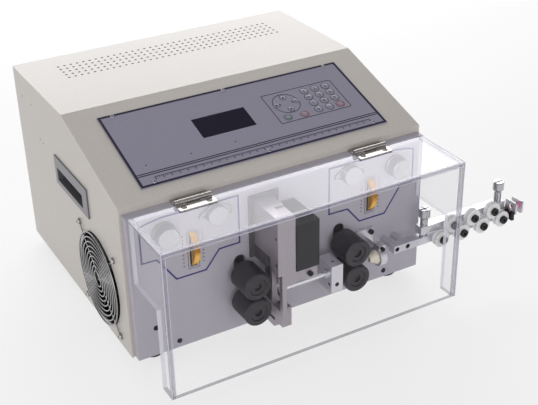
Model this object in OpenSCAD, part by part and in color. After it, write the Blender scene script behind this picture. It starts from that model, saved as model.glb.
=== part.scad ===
// Bench machine that feeds, cuts and strips electric wire.
// Millimetres. X runs along the wire, Y to the rear, Z up.

/* [Casing] */
// Width of the sheet metal casing
casing_w = 400; // [396:1:420]
// Depth of the casing from front lip to rear edge
casing_d = 340; // [330:1:360]
// Height of the casing without its feet
casing_h = 248; // [242:1:256]
// Height at which the sloping control face starts
lip_h = 199; // [197:1:203]
// Depth of the sloping control face seen from above
slope_d = 160; // [155:1:168]
// Thickness of the casing sheet
sheet_t = 1.5; // [1.2:0.1:2]
// Height of the rubber feet
foot_h = 13; // [10:1:16]
// Radius of the rubber feet
foot_r = 14; // [11:0.5:15]

/* [Front panel and cover] */
// How far the front panel stands before the casing
panel_reach = 12.6; // [12:0.2:14]
// Thickness of the front panel sheet
panel_t = 3; // [2:0.2:3.6]
// Height of the shelf on top of the front panel
panel_top = 191; // [189:0.5:194]
// How far the clear cover stands before the casing
cover_reach = 97; // [92:1:110]
// Thickness of the clear sheets
cover_t = 5; // [3:0.5:6]
// Height of the side notches that let the wire through
notch_h = 109; // [100:1:112]
// Length of one hinge
hinge_len = 45; // [36:1:50]
// Distance of each hinge from the middle
hinge_x = 117; // [110:1:130]

/* [Feed] */
// Height of the wire line above the casing bottom
wire_z = 65; // [64:0.5:66]
// Distance of the wire line before the casing
wire_reach = 49; // [48:0.5:50]
// Radius of the feed rollers
roller_r = 17.5; // [16.5:0.1:18]
// Length of the feed rollers
roller_len = 35; // [30:1:36]
// Gap between a closed pair of feed rollers
feed_gap = 0.5; // [0.4:0.1:1]
// Place of the left feed pair
left_feed_x = -62; // [-66:1:-60]
// Place of the right feed pair
right_feed_x = 75; // [73:1:76]
// Radius of the feed shafts
feed_shaft_r = 6; // [5:0.5:6.5]
// Lift of the upper feed rollers
feed_lift = 8; // [4:0.5:9]
// Distance of each brass thumbwheel from the middle
wheel_x = 120; // [117:1:124]
// Radius of the brass thumbwheels
wheel_r = 24; // [22:0.5:25]
// Height of the thumbwheel axis
wheel_z = 130; // [127:1:132]

/* [Cutter head] */
// Left face of the side plate of the cutter head
head_x = -38; // [-38.5:0.1:-37.5]
// Distance of the head front before the casing
head_reach = 70; // [68:0.5:72]
// Height of the head top
head_top = 172; // [170:0.5:173]
// Radius of the cutter lead screw
lead_r = 4; // [3:0.2:4.4]
// Travel of each blade
blade_travel = 8; // [6:0.5:8]
// Thickness of the blades
blade_t = 2.5; // [2:0.1:3]

/* [Straightener] */
// Radius of the straightener rollers
guide_roller_r = 11; // [10:0.1:11.4]
// Spacing of the straightener rollers
guide_pitch = 32.4; // [32:0.1:33]
// Place of the first straightener roller
guide_x = 205.5; // [204:0.5:207]
// Radius of the roller axles
axle_r = 3; // [2:0.2:3.6]
// Radius of the thumbscrew stems
stem_r = 4.8; // [4:0.2:5]

/* [Hidden] */
$fn = 48;
fit = 0.05;
seat = 0.02;
run_gap = 0.3;

half_w = casing_w / 2;
slope_angle = atan2(casing_h - lip_h, slope_d);
slope_drop = sheet_t / cos(slope_angle);
inner_w = casing_w - 2 * sheet_t;
flange_w = 12;

panel_half = half_w - 3;
panel_bottom = 3;
panel_y = -panel_reach;
panel_back = panel_y + panel_t;

knob_x = 155;
knob_z = 162;
knob_r = 14;
knob_front = panel_y - 17.4;
knob_shaft_r = 4;
cap_x = 90;
cap_z = 167.5;

plate_y = 14;
plate_t = 8;
plate_back = plate_y + plate_t;
plate_half = knob_x + 13;

wire_y = -wire_reach;
roller_front = wire_y - 8;
roller_back = roller_front + roller_len;
lower_z = wire_z - feed_gap / 2 - roller_r;
upper_z = wire_z + feed_gap / 2 + roller_r;
gear_y = plate_back + 3;
gear_t = 8;
gear_teeth = 24;
gear_pitch_r = roller_r + feed_gap / 2;
motor_w = 57;
motor_y = gear_y + gear_t + 5;
motor_len = 56;
shaft_end = motor_y + 22;

pinion_r = 7;
pinion_teeth = 14;
wheel_w = 7;
wheel_shaft_r = 3;
bar_front = pinion_r * (1 + 2.3 / pinion_teeth);
carriage_half = 13;
bar_half = 9;
carriage_back = plate_y - run_gap;
rail_w = 5;

plate_side_t = 6;
cheek_t = 5;
slide_w = 12.4;
slide_x0 = head_x + plate_side_t + run_gap;
slide_x1 = slide_x0 + slide_w;
block_x0 = slide_x1 + run_gap;
block_x1 = block_x0 + 30.5;
bracket_t = 3;
bracket_front = panel_y - bracket_t;
bracket_x0 = head_x - cheek_t - 6;
bracket_low = wire_z + 31.5;
bracket_top = head_top + 5;
lead_x = (slide_x0 + slide_x1) / 2;
lead_y = panel_y - 15.4;
ledge_z = wire_z + 15;
box_bottom = ledge_z + 16.5;
box_top = box_bottom + 61.5;
plate_low = wire_z + 49;
cheek_low = wire_z + 32;
cap_t = 5;
tongue_reach = wire_reach - 7;
slide_front = -head_reach + 1;
slide_back = -wire_reach + 6;
upper_blade_x = slide_x0 + 0.4;
lower_blade_x = upper_blade_x + blade_t + 0.2;
blade_half = 8;
blade_open = blade_travel;
notch_deep = 6;
bearing_z = head_top - 27;
bearing_h = 8;
pulley_r = 4.8;
pulley_z = bearing_z + bearing_h + 1.5;
pulley_h = 9;
belt_gap = 0.3;
belt_t = 1.1;
belt_z = pulley_z + 1;
belt_h = 7;
belt_slot_x = [lead_x - 7.2, lead_x + 7.2];
belt_slot_z = [belt_z - 1.5, belt_z + belt_h + 1.5];
cutter_motor_y = plate_back + 46.5;
shelf_z = bearing_z + 4;
shelf_t = 4;

guide_block_x = 43;
guide_block_w = 16;
pivot_z = wire_z - 16;
pivot_r = 5;
tube_r = 3;

bar_y0 = wire_y + 5;
bar_y1 = bar_y0 + 12;
low_axle_z = wire_z - 5.3;
high_axle_z = wire_z + 11.2;
low_bar_z0 = low_axle_z - 4.2;
low_bar_z1 = low_axle_z + 6;
high_bar_z0 = high_axle_z - 6.6;
high_bar_z1 = high_axle_z + 4.2;
bar_x0 = 142;
bar_x1 = guide_x + 3 * guide_pitch + 9.3;
top_bar_x0 = guide_x - 28;
post_x = [bar_x0, bar_x0 + 16];
post_z = (low_bar_z0 + low_bar_z1) / 2;
post_r = 4.6;
post_screw_r = 3.2;
stem_x = [guide_x - 19.5, bar_x1 - 8];
stem_y = (bar_y0 + bar_y1) / 2;
stem_end = low_axle_z + axle_r + 1.2;
thumb_z = high_bar_z1 + 9;
guide_front = bar_y0 - 9.5;
eye_z = wire_z + 6.5;
eye_r = 4.5;
end_plate_t = 2.5;
inner_plate_x = bar_x1 + 6;
eyelet_x = bar_x1 + 16.5;
eyelet_end = eyelet_x + 5;

knuckle_r = 3;
pin_r = 1.5;
leaf_t = 1.5;
leaf_w = 13.2;
moving_leaf_w = leaf_w + 2;
cover_half = half_w - 5.5;
hinge_lap = 0.9;
hinge_y = panel_y - hinge_lap;
cover_back = hinge_y - 0.5;
cover_bottom = 4;
cover_strip = 24;
hinge_z = panel_top + knuckle_r + run_gap;

fan_y = 82;
fan_z = 65.6;
fan_size = 120;
fan_deep = 25;
fan_bore = 58;
fan_x = -half_w + sheet_t;
fan_screw = 52.5;
wire_gauge = 0.9;
guard_reach = 4.4;

handle_y = [95, 203];
handle_z = [140, 178.6];
pocket_y = [111, 195];
pocket_z = [147, 164.5];
pocket_deep = 24;
handle_t = 2;
cup_t = 2.5;

overlay_half = 164;
overlay_s = [18, 146];
overlay_t = 1.2;
lcd_x = [-62, 9];
lcd_s = [70, 105.3];

inlet_x = 150;
inlet_z = 45;
inlet_flange = 2.5;
rocker_r = 9;
rocker_half = 7;
rocker_y = casing_d + inlet_flange - 6;
rocker_z = inlet_z + 26;
rocker_flat = 6.5;
rocker_vee = 12;
rocker_tilt = 8;
rear_reach = rocker_y - casing_d + rocker_flat / cos(rocker_vee) * cos(rocker_tilt);

x_min = -half_w - guard_reach;
y_max = casing_d + rear_reach;
origin_shift = [-(x_min + eyelet_end) / 2, (cover_reach - y_max) / 2, foot_h];

// Moves every piece so that the middle of the whole footprint is the origin
module placed() {
    translate(origin_shift) children();
}

// Box between two values on each axis
module box(x, y, z) {
    translate([x[0], y[0], z[0]])
        cube([x[1] - x[0], y[1] - y[0], z[1] - z[0]]);
}

// Round bar along X
module rod_x(r, x, y, z) {
    translate([x[0], y, z])
        rotate([0, 90, 0])
            cylinder(r = r, h = x[1] - x[0]);
}

// Round bar along Y
module rod_y(r, x, y, z) {
    translate([x, y[0], z])
        rotate([-90, 0, 0])
            cylinder(r = r, h = y[1] - y[0]);
}

// Round bar along Z
module rod_z(r, x, y, z) {
    translate([x, y, z[0]])
        cylinder(r = r, h = z[1] - z[0]);
}

// Outline drawn in Y and Z, drawn out along X
module slab_x(x, points) {
    translate([x[0], 0, 0])
        rotate([90, 0, 90])
            linear_extrude(x[1] - x[0])
                polygon(points);
}

// Outline drawn in X and Z, drawn out along Y
module slab_y(y, points) {
    translate([0, y[1], 0])
        rotate([90, 0, 0])
            linear_extrude(y[1] - y[0])
                polygon(points);
}

// Turned piece whose axis runs to the front, profile given as radius and distance
module turned_front(x, y, z, profile) {
    translate([x, y, z])
        rotate([90, 0, 0])
            rotate_extrude()
                polygon(profile);
}

// Turned piece whose axis runs along X
module turned_x(x, y, z, profile) {
    translate([x, y, z])
        rotate([0, 90, 0])
            rotate_extrude()
                polygon(profile);
}

// Frame of the sloping control face: Y up the slope, Z out of it
module on_slope() {
    translate([0, 0, lip_h])
        rotate([slope_angle, 0, 0])
            children();
}

// Outline of one toothed wheel with generous clearance
function tooth_point(radius, angle) = [radius * cos(angle), radius * sin(angle)];
function gear_points(teeth, pitch_r, turn) = let (pitch = 360 / teeth, m = 2 * pitch_r / teeth)
    [for (i = [0:teeth - 1]) for (k = [0:3])
        let (side = [-0.28, -0.11, 0.11, 0.28][k], reach = (k == 0 || k == 3) ? -1.15 : 0.85)
        tooth_point(pitch_r + reach * m, turn + (i + side) * pitch)];

// Outline of a round with a finely notched rim
function knurl_points(r, count, deep) =
    [for (i = [0:2 * count - 1]) tooth_point(i % 2 == 0 ? r : r - deep, i * 180 / count)];

module left_and_right() {
    children();
    mirror([1, 0, 0]) children();
}

// Casing shell: two sides, sloping face and top in one folded sheet
module casing() {
    fold_y = (casing_h - sheet_t - lip_h + slope_drop) / tan(slope_angle);
    inner_lip = lip_h - slope_drop;
    color("Beige")
    difference() {
        union() {
            difference() {
                slab_x([-half_w, half_w], [[0, 0], [0, lip_h], [slope_d, casing_h],
                    [casing_d, casing_h], [casing_d, 0]]);
                slab_x([-half_w + sheet_t, half_w - sheet_t], [[-1, -1],
                    [-1, inner_lip - tan(slope_angle)], [fold_y, casing_h - sheet_t],
                    [casing_d + 1, casing_h - sheet_t], [casing_d + 1, -1]]);
            }
            left_and_right()
                box([half_w - sheet_t - flange_w, half_w - sheet_t / 2], [0, sheet_t], [sheet_t, inner_lip]);
            box([-half_w + sheet_t / 2, half_w - sheet_t / 2], [0, sheet_t], [panel_top - 6, inner_lip + 0.3]);
        }
        left_and_right()
            box([half_w - 5, half_w + 5], [pocket_y[0] - cup_t, pocket_y[1] + cup_t],
                [pocket_z[0] - cup_t, pocket_z[1] + cup_t]);
        rod_x(fan_bore, [-half_w - 5, -half_w + 5], fan_y, fan_z);
        on_slope()
            box(lcd_x, lcd_s, [-5, 5]);
    }
}

// Floor sheet of the casing
module base_pan() {
    color("Silver")
        box([-inner_w / 2, inner_w / 2], [sheet_t, casing_d - sheet_t], [0, sheet_t]);
}

// Rear sheet of the casing with the opening for the power inlet
module rear_panel() {
    color("Beige")
    difference() {
        box([-inner_w / 2, inner_w / 2], [casing_d - sheet_t, casing_d], [0, casing_h - sheet_t]);
        box([inlet_x - 15.2, inlet_x + 15.2], [casing_d - 5, casing_d + 5], [inlet_z - 13.2, inlet_z + 39.2]);
    }
}

// Four turned rubber feet under the floor sheet
module feet() {
    color("Black")
    for (x = [-half_w + 32, half_w - 32])
        for (y = [16, casing_d - 24])
            translate([x, y, -foot_h])
                rotate_extrude()
                    polygon([[0, 0], [foot_r - 2, 0], [foot_r - 1, 1], [foot_r, foot_h], [0, foot_h]]);
}

// Recessed carrying handles in both sides
module carry_handles() {
    color("DimGray")
    left_and_right()
    difference() {
        union() {
            box([half_w, half_w + handle_t], handle_y, handle_z);
            box([half_w - pocket_deep - cup_t, half_w + 0.5],
                [pocket_y[0] - cup_t, pocket_y[1] + cup_t], [pocket_z[0] - cup_t, pocket_z[1] + cup_t]);
        }
        box([half_w - pocket_deep, half_w + 5], pocket_y, pocket_z);
    }
}

// Round wire guard in front of the fan: rings, two crossed bars and four eyes
module fan_guard() {
    ring_x = -half_w - guard_reach + wire_gauge;
    bar_x = ring_x + 2 * wire_gauge;
    ring_step = 6;
    lug_r = 4;
    color("Silver")
    translate([0, fan_y, fan_z]) {
        for (r = [10:ring_step:58])
            translate([ring_x, 0, 0])
                rotate([0, 90, 0])
                    rotate_extrude()
                        translate([r, 0])
                            circle(r = wire_gauge, $fn = 16);
        for (turn = [45, 135])
            translate([bar_x, 0, 0])
                rotate([turn, 0, 0])
                    difference() {
                        union() {
                            translate([0, 0, -fan_screw * sqrt(2)])
                                cylinder(r = wire_gauge - seat, h = 2 * fan_screw * sqrt(2), $fn = 16);
                            for (end = [-1, 1])
                                translate([-0.7, 0, end * fan_screw * sqrt(2)])
                                    rotate([0, 90, 0])
                                        cylinder(r = lug_r, h = -half_w - bar_x + 0.7);
                        }
                        if (turn == 135)
                            box([-2, 2], [-2, 2], [-1.2, 1.2]);
                    }
    }
}

// Square fan housing with its hub and struts
module fan_frame() {
    hub_x = fan_x + fan_deep - 3;
    color("Black")
    translate([0, fan_y, fan_z]) {
        difference() {
            box([fan_x, fan_x + fan_deep], [-fan_size / 2, fan_size / 2], [-fan_size / 2, fan_size / 2]);
            rod_x(fan_bore, [fan_x - 1, fan_x + fan_deep + 1], 0, 0);
        }
        rod_x(18, [hub_x, hub_x + 3], 0, 0);
        for (turn = [45:90:315])
            rotate([turn, 0, 0])
                box([hub_x, hub_x + 3], [-3, 3], [15, fan_bore + 1]);
        rod_x(2, [hub_x - 12, hub_x + 1], 0, 0);
    }
}

// Fan hub with pitched blades
module fan_rotor() {
    rotor_x = [fan_x + 2.5, fan_x + fan_deep - 4];
    mid_x = (rotor_x[0] + rotor_x[1]) / 2;
    color("DimGray")
    translate([0, fan_y, fan_z])
    difference() {
        union() {
            rod_x(19, rotor_x, 0, 0);
            intersection() {
                rod_x(fan_bore - 2, rotor_x, 0, 0);
                for (turn = [0:360 / 7:350])
                    rotate([turn, 0, 0])
                        translate([mid_x, 0, 0])
                            rotate([0, 0, 40])
                                box([-1, 1], [-14, 14], [17, fan_bore]);
            }
        }
        rod_x(2 + fit, [fan_x + fan_deep - 15.5, fan_x + fan_deep], 0, 0);
    }
}

// Control plate with its printed film on the sloping face
module control_panel() {
    color("LightSteelBlue")
    on_slope()
    difference() {
        box([-overlay_half, overlay_half], overlay_s, [0, overlay_t]);
        box(lcd_x, lcd_s, [-5, 5]);
    }
}

// Display glass standing on its circuit board
module lcd_module() {
    board_z = -sheet_t - 6;
    color("MidnightBlue")
    on_slope() {
        box([lcd_x[0] + 0.2, lcd_x[1] - 0.2], [lcd_s[0] + 0.2, lcd_s[1] - 0.2], [board_z, overlay_t - 0.4]);
        box([lcd_x[0] - 8, lcd_x[1] + 8], [lcd_s[0] - 8, lcd_s[1] + 8], [board_z - 1.6, board_z]);
    }
}

// Controller board on pillars with a few large components
module main_board() {
    x0 = -half_w + 20;
    y0 = casing_d - 160;
    size = [160, 130];
    inset = 6;
    board_z = sheet_t + 8;
    board_top = board_z + 1.6;
    color("DarkGreen") {
        box([x0, x0 + size[0]], [y0, y0 + size[1]], [board_z, board_top]);
        for (x = [x0 + inset, x0 + size[0] - inset])
            for (y = [y0 + inset, y0 + size[1] - inset])
                rod_z(3, x, y, [sheet_t, board_z]);
        for (x = [x0 + 20:34:x0 + 130])
            box([x, x + 22], [y0 + 20, y0 + 56], [board_top, board_top + 14]);
        for (x = [x0 + 25:24:x0 + 140])
            rod_z(8, x, y0 + 95, [board_top, board_top + 24]);
    }
}

// Boxed power supply on the floor sheet
module power_supply() {
    color("Silver")
        box([half_w - 140, half_w - 20], [casing_d - 170, casing_d - 36], [sheet_t, sheet_t + 55]);
}

// Power socket and switch housing in the rear panel
module power_inlet() {
    color("Black")
    difference() {
        union() {
            box([inlet_x - 20, inlet_x + 20], [casing_d, casing_d + inlet_flange],
                [inlet_z - 17, inlet_z + 43]);
            box([inlet_x - 15, inlet_x + 15], [casing_d - 24, casing_d + 1], [inlet_z - 13, inlet_z + 39]);
        }
        box([inlet_x - 12, inlet_x + 12], [casing_d - 16, casing_d + 5], [inlet_z - 8, inlet_z + 8]);
        rod_x(rocker_r + 0.3, [inlet_x - rocker_half - 0.3, inlet_x + rocker_half + 0.3], rocker_y, rocker_z);
        box([inlet_x - rocker_half - 0.3, inlet_x + rocker_half + 0.3], [rocker_y, casing_d + 5],
            [rocker_z - rocker_r - 0.3, rocker_z + rocker_r + 0.3]);
        rod_x(1.5 + fit, [inlet_x - rocker_half - 2.2, inlet_x + rocker_half + 2.2], rocker_y, rocker_z);
    }
}

// Rocker of the power switch with its two pivot pins
module power_switch() {
    color("Red")
    translate([inlet_x, rocker_y, rocker_z])
    rotate([-rocker_tilt, 0, 0]) {
        difference() {
            rod_x(rocker_r, [-rocker_half, rocker_half], 0, 0);
            for (turn = [-rocker_vee, rocker_vee])
                rotate([turn, 0, 0])
                    box([-20, 20], [rocker_flat, 20], [-20, 20]);
        }
        rod_x(1.5, [-rocker_half - 2, rocker_half + 2], 0, 0);
    }
}

// Folded front panel with its openings
module front_panel() {
    through = [panel_y - 5, panel_back + 2];
    slot_r = feed_shaft_r + 1.5;
    slot_top = upper_z + feed_lift + 5;
    color("Gainsboro")
    difference() {
        box([-panel_half, panel_half], [panel_y, 0], [panel_bottom, panel_top]);
        box([-panel_half + panel_t, panel_half - panel_t], [panel_back, 5],
            [panel_bottom + panel_t, panel_top - panel_t]);
        for (x = [left_feed_x, right_feed_x]) {
            rod_y(feed_shaft_r + 1, x, through, lower_z);
            rod_y(slot_r, x, through, upper_z);
            rod_y(slot_r, x, through, slot_top);
            box([x - slot_r, x + slot_r], through, [upper_z, slot_top]);
        }
        left_and_right() {
            box([wheel_x - wheel_w / 2 - 1, wheel_x + wheel_w / 2 + 1], through,
                [wheel_z - wheel_r + 1.4, wheel_z + wheel_r - 1.4]);
            rod_y(knob_shaft_r + 0.4, knob_x, through, knob_z);
        }
        rod_y(pivot_r + 0.4, guide_block_x, through, pivot_z);
        box(belt_slot_x, through, belt_slot_z);
    }
}

// Thick plate behind the panel that carries the shafts and the motors
module bearing_plate() {
    through = [plate_y - 1, plate_back + 1];
    lug_out = wheel_z - 5;
    color("Silver")
    difference() {
        union() {
            box([-plate_half, plate_half], [plate_y, plate_back], [sheet_t, panel_top - 5]);
            box([-plate_half, plate_half], [plate_back, plate_back + 12], [sheet_t, sheet_t + 5]);
            for (x = [left_feed_x, right_feed_x])
                for (side = [-1, 1])
                    translate([x + side * (bar_half + run_gap + rail_w / 2), 0, 0])
                        box([-rail_w / 2, rail_w / 2], [plate_y - 8, plate_y + 1],
                            [wheel_z - 18, wheel_z + 26]);
            for (side = [-1, 1])
                for (x = lug_places(side))
                    box([x - 3, x + 3], [-wheel_shaft_r - 3, plate_y + 1], [lug_out, lug_out + 10]);
            box([lead_x - 30, lead_x + 30], [plate_back - 1, cutter_motor_y + motor_w / 2],
                [shelf_z, shelf_z + shelf_t]);
        }
        for (x = [left_feed_x, right_feed_x]) {
            rod_y(feed_shaft_r + fit, x, through, lower_z);
            box([x - feed_shaft_r - 1.5, x + feed_shaft_r + 1.5], through,
                [upper_z - feed_shaft_r - 1.5, upper_z + feed_lift + feed_shaft_r + 1.5]);
        }
        for (side = [-1, 1]) {
            box([side * wheel_x - wheel_w / 2 - 1, side * wheel_x + wheel_w / 2 + 1], through,
                [wheel_z - wheel_r + 1.4, wheel_z + wheel_r - 1.4]);
            rod_x(wheel_shaft_r + fit, [side * 110 - 40, side * 110 + 40], 0, wheel_z);
            rod_y(knob_shaft_r + fit, side * knob_x, through, knob_z);
        }
        rod_y(pivot_r + fit, guide_block_x, through, pivot_z);
        box(belt_slot_x, through, belt_slot_z);
        rod_z(20, lead_x, cutter_motor_y, [shelf_z - 1, shelf_z + shelf_t + 1]);
    }
}

// Places of the lugs that carry one thumbwheel shaft
function feed_x(side) = side < 0 ? left_feed_x : right_feed_x;
function lug_places(side) = [side * (wheel_x + 13), side * (wheel_x - 13), feed_x(side) + side * 21];

// Square motor body with cut corners, its shaft hole facing up
module motor_body(hole_r, hole_deep) {
    corner = 6;
    half = motor_w / 2;
    difference() {
        translate([0, 0, -motor_len])
            linear_extrude(motor_len)
                polygon([[half - corner, -half], [half, -half + corner], [half, half - corner],
                    [half - corner, half], [-half + corner, half], [-half, half - corner],
                    [-half, -half + corner], [-half + corner, -half]]);
        translate([0, 0, -hole_deep])
            cylinder(r = hole_r, h = hole_deep + 1);
    }
}

// Two feed motors on posts and the cutter motor under its shelf
module stepper_motors() {
    post = 22.5;
    color("DimGray") {
        for (x = [left_feed_x, right_feed_x])
            translate([x, motor_y, lower_z])
                rotate([90, 0, 0]) {
                    motor_body(feed_shaft_r + fit, shaft_end - motor_y + 2);
                    for (a = [-post, post])
                        for (b = [-post, post])
                            translate([a, b, -0.5])
                                cylinder(r = 3.5, h = motor_y - plate_back + 0.5);
                }
        translate([lead_x, cutter_motor_y, shelf_z])
            motor_body(3 + fit, 20);
    }
}

// Toothed belt loop between the cutter motor and the lead screw
module cutter_belt() {
    inner = pulley_r + belt_gap;
    color("Black")
    translate([lead_x, 0, belt_z])
        linear_extrude(belt_h)
            difference() {
                belt_loop(inner + belt_t);
                belt_loop(inner);
            }
}

// Outline of the belt path at one distance from the pulley axes
module belt_loop(r) {
    translate([0, lead_y])
        circle(r = r);
    translate([0, cutter_motor_y])
        circle(r = r);
    translate([-r, lead_y])
        square([2 * r, cutter_motor_y - lead_y]);
}

// Cutter motor shaft with its pulley
module cutter_rotor() {
    color("Silver") {
        rod_z(3, lead_x, cutter_motor_y, [shelf_z - 18, pulley_z]);
        rod_z(pulley_r, lead_x, cutter_motor_y, [pulley_z, pulley_z + pulley_h]);
    }
}

// Screw with opposite threads that closes the two blades, with its pulley
module lead_screw() {
    color("Silver") {
        rod_z(lead_r, lead_x, lead_y, [8, pulley_z]);
        rod_z(pulley_r, lead_x, lead_y, [pulley_z, pulley_z + pulley_h]);
    }
}

// Dark plate on the panel that carries the cutter head, with an arm to the side plate
module head_bracket() {
    wall = [bracket_front, panel_y];
    plate_x1 = head_x + plate_side_t;
    tongue_back = -tongue_reach;
    color("DimGray")
    difference() {
        union() {
            box([bracket_x0, block_x1], wall, [bracket_low, box_top]);
            box([bracket_x0, block_x0 + 9], wall, [box_top - 1, bracket_top]);
            box([block_x0, block_x1], wall, [ledge_z, bracket_low + 1]);
            box([head_x - cheek_t, plate_x1], [tongue_back, bracket_front + 1], [bracket_low, plate_low]);
            box([head_x, plate_x1], [tongue_back, tongue_back + 12], [wire_z - 17, bracket_low + 1]);
        }
        box(belt_slot_x, [bracket_front - 1, panel_y + 1], belt_slot_z);
    }
}

// Cutter head frame: side plate with its cheek, ledge, screw bearings, cap and lower rail
module head_frame() {
    low_bearing = [6, 15];
    cheek_x = head_x - cheek_t;
    cheek_back = wire_y - 5;
    color("LightGray")
    difference() {
        union() {
            slab_x([head_x, head_x + plate_side_t], [[bracket_front, head_top], [-head_reach, head_top],
                [-head_reach, wire_z - 35], [-tongue_reach, wire_z - 35], [-tongue_reach, plate_low],
                [bracket_front, plate_low]]);
            slab_x([cheek_x, head_x + 1], [[bracket_front, head_top], [-head_reach, head_top],
                [-head_reach, cheek_low], [cheek_back, cheek_low], [cheek_back, plate_low],
                [bracket_front, plate_low]]);
            box([block_x0, block_x1], [-head_reach + 4, bracket_front], [ledge_z, box_bottom]);
            box([head_x + 1, slide_x1], [lead_y - 10, bracket_front], [bearing_z, bearing_z + bearing_h]);
            box([head_x + 1, slide_x1], [slide_back + run_gap, bracket_front], [head_top - cap_t, head_top]);
            box([slide_x0, slide_x1], [lead_y - 10, panel_y], low_bearing);
            box([lead_x - 2.5, lead_x + 2.5], [lead_y + 8.3, panel_y], [low_bearing[1] - 1, wire_z - 6]);
        }
        slab_x([head_x - 1, head_x + plate_side_t + 1], [[wire_y - 15, wire_z - 20],
            [wire_y + 3, wire_z - 20], [wire_y + 3, wire_z + 27], [wire_y - 15, wire_z + 27]]);
        rod_z(lead_r + fit, lead_x, lead_y, [0, bearing_z + bearing_h + 1]);
        for (z = [wire_z + 45, wire_z + 80])
            rod_x(2.2, [cheek_x - 1, cheek_x + 3], wire_y - 16.5, z);
    }
}

// Black cover box over the right half of the cutter head
module head_cover() {
    wall = 2;
    color("Black")
    difference() {
        box([block_x0, block_x1], [-head_reach, bracket_front], [box_bottom, box_top]);
        box([block_x0 + wall, block_x1 - wall], [-head_reach + wall, bracket_front + 1],
            [box_bottom - 1, box_top - wall]);
    }
}

// Nut lug that rides on the lead screw
module nut_lug(y0, z) {
    difference() {
        box([slide_x0, slide_x1], [y0, lead_y + 8], z);
        rod_z(lead_r + fit, lead_x, lead_y, [z[0] - 1, z[1] + 1]);
    }
}

// Upper slide that carries the upper blade
module upper_blade_holder() {
    color("Silver") {
        difference() {
            box([slide_x0, slide_x1], [slide_front, slide_back], [ledge_z, head_top - 2]);
            box([upper_blade_x - seat, upper_blade_x + blade_t + seat],
                [wire_y - blade_half - seat, slide_back + 1], [ledge_z - 1, ledge_z + 16 + seat]);
        }
        nut_lug(slide_back, [bearing_z - 24, bearing_z - 4]);
    }
}

// Lower slide that carries the lower blade
module lower_blade_holder() {
    bar_back = wire_y + 9;
    top = wire_z - 23;
    color("Silver") {
        difference() {
            box([slide_x0, slide_x1], [wire_y - 9, bar_back], [top - 26, top]);
            box([lower_blade_x - seat, lower_blade_x + blade_t + seat],
                [wire_y - blade_half - seat, wire_y + blade_half + seat], [top - 16 - seat, top + 1]);
        }
        nut_lug(bar_back, [top - 22, top - 4]);
    }
}

// Blade outline with a V notch, from its notch to its clamped end
function blade_points(apex, away) = let (tip = apex - away * notch_deep)
    [[wire_y - blade_half, tip], [wire_y, apex], [wire_y + blade_half, tip],
     [wire_y + blade_half, blade_end(away)], [wire_y - blade_half, blade_end(away)]];
function blade_end(away) = away > 0 ? ledge_z + 16 : wire_z - 39;

module upper_blade() {
    color("WhiteSmoke")
        slab_x([upper_blade_x, upper_blade_x + blade_t], blade_points(wire_z + blade_open, 1));
}

module lower_blade() {
    color("WhiteSmoke")
        slab_x([lower_blade_x, lower_blade_x + blade_t], blade_points(wire_z - blade_open, -1));
}

// Swinging block that aims the guide tube, on its pivot shaft
module guide_block() {
    x = [guide_block_x - guide_block_w / 2, guide_block_x + guide_block_w / 2];
    block_back = wire_y + 18;
    boss_x = x[0] - 5;
    recess = [x[0] - 1, x[0] + 2];
    color("Silver") {
        difference() {
            union() {
                box(x, [wire_y - 11, block_back], [wire_z - 23, wire_z + 14]);
                rod_x(5.5, [boss_x, x[0] + 1], wire_y, wire_z);
            }
            rod_x(tube_r + seat, [boss_x - 1, x[1] + 1], wire_y, wire_z);
            rod_z(2, guide_block_x, wire_y, [wire_z + 1, wire_z + 15]);
            rod_x(2.4, recess, wire_y + 8, wire_z - 9);
            rod_x(2.4, recess, wire_y - 5.5, wire_z - 12.5);
            rod_y(2.8, guide_block_x, [wire_y - 12, wire_y - 9], wire_z - 12.5);
        }
        rod_y(pivot_r, guide_block_x, [block_back - 1, plate_back + 4], pivot_z);
        rod_y(pivot_r + 3, guide_block_x, [plate_back + run_gap, plate_back + 4], pivot_z);
    }
}

// Polished tube that leads the wire to the blades
module guide_tube() {
    color("White")
    difference() {
        rod_x(tube_r, [slide_x1 - 2.7, guide_block_x + guide_block_w / 2 + 2], wire_y, wire_z);
        rod_x(tube_r - 0.7, [slide_x1 - 5, guide_block_x + guide_block_w], wire_y, wire_z);
    }
}

// Feed roller with its shaft and gear
module feed_roller(x, z, back, turn) {
    color("DimGray") {
        difference() {
            turned_front(x, roller_back, z, [[0, 0], [roller_r - 0.8, 0], [roller_r, 0.8],
                [roller_r, roller_len - 1.5], [roller_r - 1.5, roller_len], [11, roller_len],
                [10, roller_len - 1.5], [5, roller_len - 1.5], [4.5, roller_len - 4], [0, roller_len - 4]]);
            rod_y(feed_shaft_r + seat, x, [roller_front + 8, roller_back + 1], z);
        }
        rod_y(feed_shaft_r, x, [roller_front + 8, back], z);
        difference() {
            slab_y_at(x, z, [gear_y, gear_y + gear_t], gear_points(gear_teeth, gear_pitch_r, turn));
            rod_y(feed_shaft_r + seat, x, [gear_y - 1, gear_y + gear_t + 1], z);
        }
    }
}

// Outline in X and Z about a point, drawn out along Y
module slab_y_at(x, z, y, points) {
    translate([x, 0, z])
        slab_y(y, points);
}

module left_lower_roller() {
    feed_roller(left_feed_x, lower_z, shaft_end, 90);
}

module right_lower_roller() {
    feed_roller(right_feed_x, lower_z, shaft_end, 90);
}

module left_upper_roller() {
    feed_roller(left_feed_x, upper_z, gear_y + gear_t + 1, -90 + 180 / gear_teeth);
}

module right_upper_roller() {
    feed_roller(right_feed_x, upper_z, gear_y + gear_t + 1, -90 + 180 / gear_teeth);
}

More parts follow.
